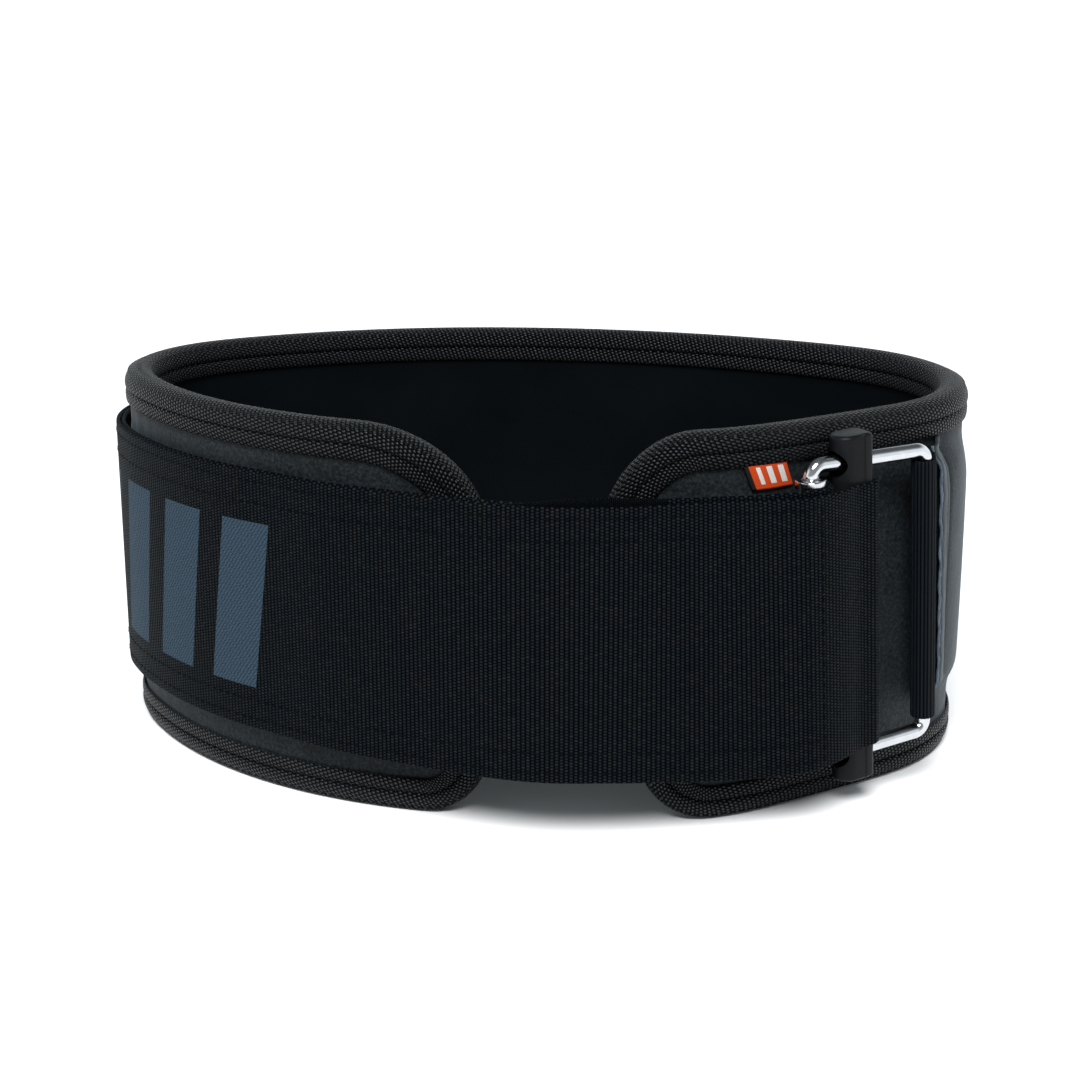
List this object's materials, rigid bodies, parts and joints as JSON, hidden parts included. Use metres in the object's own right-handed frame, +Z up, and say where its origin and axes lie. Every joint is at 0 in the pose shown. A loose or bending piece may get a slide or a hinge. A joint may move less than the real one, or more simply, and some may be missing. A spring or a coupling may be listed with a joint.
{
  "type": "weightlifting belt",
  "caption": "Padded lifting belt closed into a ring by a webbing strap and a self-locking wire buckle with a sliding post; it stands on its lower edge.",
  "frame": {"origin": "on the surface that the belt stands on, under the middle of its bounding box", "axes": "+X across the belt to the buckle side as seen from the front, +Y from the strap at the front to the back, +Z up along the belt's height"},
  "size_m": [0.2526, 0.1724, 0.1084],
  "materials": {
    "cover": "smooth brushed microfibre, dark grey-black, soft sheen",
    "lining": "smooth matte black",
    "binding": "coarse woven nylon tape, black, stitched",
    "webbing": "ribbed woven webbing, black, with a row of plain slate-blue bars",
    "hook": "hook tape, black",
    "keeper_webbing": "woven webbing, black",
    "tag": "woven red label with plain white bars",
    "plated_wire": "bright nickel plate, polished",
    "plated_tube": "bright nickel plate, polished",
    "moulded_plastic": "moulded satin black"
  },
  "bodies": {
    "root": {"padded_panel": "cover", "inner_lining": "lining", "edge_binding": "binding", "strap": "webbing", "hook_tape": "hook", "keeper_loop": "keeper_webbing", "side_tag": "tag", "buckle_frame": "plated_wire", "roller_sleeve": "plated_tube", "slider_post": "moulded_plastic"}
  },
  "joints": []
}
